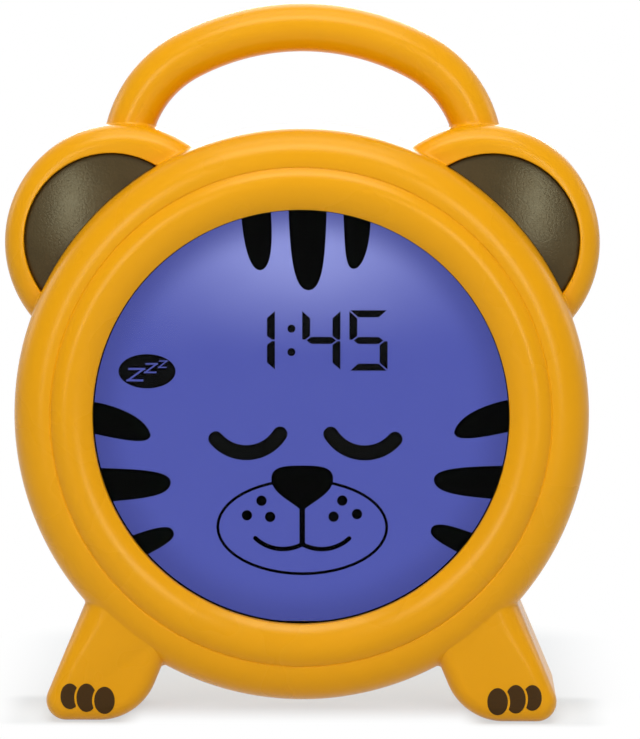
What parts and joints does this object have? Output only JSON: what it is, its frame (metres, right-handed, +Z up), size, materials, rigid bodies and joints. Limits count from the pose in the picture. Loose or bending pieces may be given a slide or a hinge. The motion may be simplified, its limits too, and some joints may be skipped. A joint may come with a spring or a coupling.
{
  "type": "alarm clock",
  "caption": "Bedside alarm clock shaped like a sleeping tiger, with ears, legs, a carrying handle, a lit round display and buttons on its back.",
  "frame": {"origin": "on the table, midway between the feet and midway between the foremost and the rearmost point", "axes": "+Z up, -Y the way the face looks, +X to the right as seen from the front; the clock's left and right halves mirror each other about X = 0"},
  "size_m": [0.1582, 0.05, 0.1905],
  "materials": {
    "body_plastic": "satin gloss, orange yellow",
    "ear_leather": "fine grain, olive brown",
    "toe_plastic": "satin, dark brown",
    "lens_plastic": "clear, polished",
    "face_ink": "printed, black",
    "display_glass": "clear, polished",
    "segment_black": "dark display segments",
    "display_light": "translucent diffuser, lit blue violet",
    "foam_black": "foam",
    "tray_white": "moulded, white",
    "board_white": "lacquered laminate, white",
    "board_green": "lacquered laminate, green",
    "lamp_yellow": "moulded lamp lens",
    "ribbon_amber": "flexible film",
    "chip_black": "moulded",
    "pad_rubber": "soft, dark grey",
    "screw_steel": "zinc plated",
    "contact_steel": "nickel plated",
    "contact_gold": "gold plated",
    "button_brown": "satin, brown",
    "plunger_white": "moulded",
    "speaker_grey": "paper cone and painted frame",
    "cell_blue": "printed sleeve"
  },
  "bodies": {
    "clock": {"front_shell": "body_plastic", "rear_shell": "body_plastic", "window_lens": "lens_plastic", "face_print": "face_ink", "lens_gasket": "foam_black", "lcd_front_glass": "display_glass", "lcd_segments": "segment_black", "lcd_rear_glass": "display_glass", "light_diffuser": "display_light", "reflector_tray": "tray_white", "tray_screws": "screw_steel", "led_board": "board_white", "leds": "lamp_yellow", "light_leads": "contact_gold", "lcd_ribbon": "ribbon_amber", "left_ear_inlay": "ear_leather", "right_ear_inlay": "ear_leather", "left_toe_inlays": "toe_plastic", "right_toe_inlays": "toe_plastic", "left_foot_pad": "pad_rubber", "right_foot_pad": "pad_rubber", "shell_screws": "screw_steel", "main_board": "board_green", "board_chips": "chip_black", "board_screws": "screw_steel", "key_switches": "chip_black", "alarm_switch": "contact_steel", "power_inlet": "contact_steel", "speaker": "speaker_grey", "speaker_contacts": "contact_gold", "batteries": "cell_blue", "contact_springs": "contact_steel", "contact_plates": "contact_steel"},
    "hour_key": {"hour_button": "button_brown", "hour_plunger": "plunger_white"},
    "minute_key": {"minute_button": "button_brown", "minute_plunger": "plunger_white"},
    "alarm_key": {"alarm_button": "button_brown", "alarm_plunger": "plunger_white"},
    "light_key": {"light_button": "button_brown", "light_plunger": "plunger_white"},
    "volume_key": {"volume_button": "button_brown", "volume_plunger": "plunger_white"},
    "melody_key": {"melody_button": "button_brown", "melody_plunger": "plunger_white"},
    "alarm_slide_knob": {"alarm_slider": "button_brown"},
    "door": {"battery_door": "body_plastic"},
    "door_fastener": {"door_screw": "screw_steel"}
  },
  "joints": [
    {"name": "hour_press", "type": "slide", "parent": "clock", "child": "hour_key", "axis": [0, -1, 0], "range_m": [0, 0.0008], "stiffness_N_per_m": 400, "springref_m": -0.001},
    {"name": "minute_press", "type": "slide", "parent": "clock", "child": "minute_key", "axis": [0, -1, 0], "range_m": [0, 0.0008], "stiffness_N_per_m": 400, "springref_m": -0.001},
    {"name": "alarm_press", "type": "slide", "parent": "clock", "child": "alarm_key", "axis": [0, -1, 0], "range_m": [0, 0.0008], "stiffness_N_per_m": 400, "springref_m": -0.001},
    {"name": "light_press", "type": "slide", "parent": "clock", "child": "light_key", "axis": [0, -1, 0], "range_m": [0, 0.0008], "stiffness_N_per_m": 400, "springref_m": -0.001},
    {"name": "volume_press", "type": "slide", "parent": "clock", "child": "volume_key", "axis": [0, -1, 0], "range_m": [0, 0.0008], "stiffness_N_per_m": 400, "springref_m": -0.001},
    {"name": "melody_press", "type": "slide", "parent": "clock", "child": "melody_key", "axis": [0, -1, 0], "range_m": [0, 0.0008], "stiffness_N_per_m": 400, "springref_m": -0.001},
    {"name": "alarm_slide", "type": "slide", "parent": "clock", "child": "alarm_slide_knob", "axis": [1, 0, 0], "range_m": [0, 0.004]},
    {"name": "door_hinge", "type": "hinge", "parent": "clock", "child": "door", "pos_m": [0, 0.0222, 0.0689], "axis": [1, 0, 0], "range_deg": [0, 80]},
    {"name": "door_screw_turn", "type": "hinge", "parent": "door", "child": "door_fastener", "pos_m": [0, 0.022, 0.0321], "axis": [0, 1, 0], "continuous": true}
  ]
}
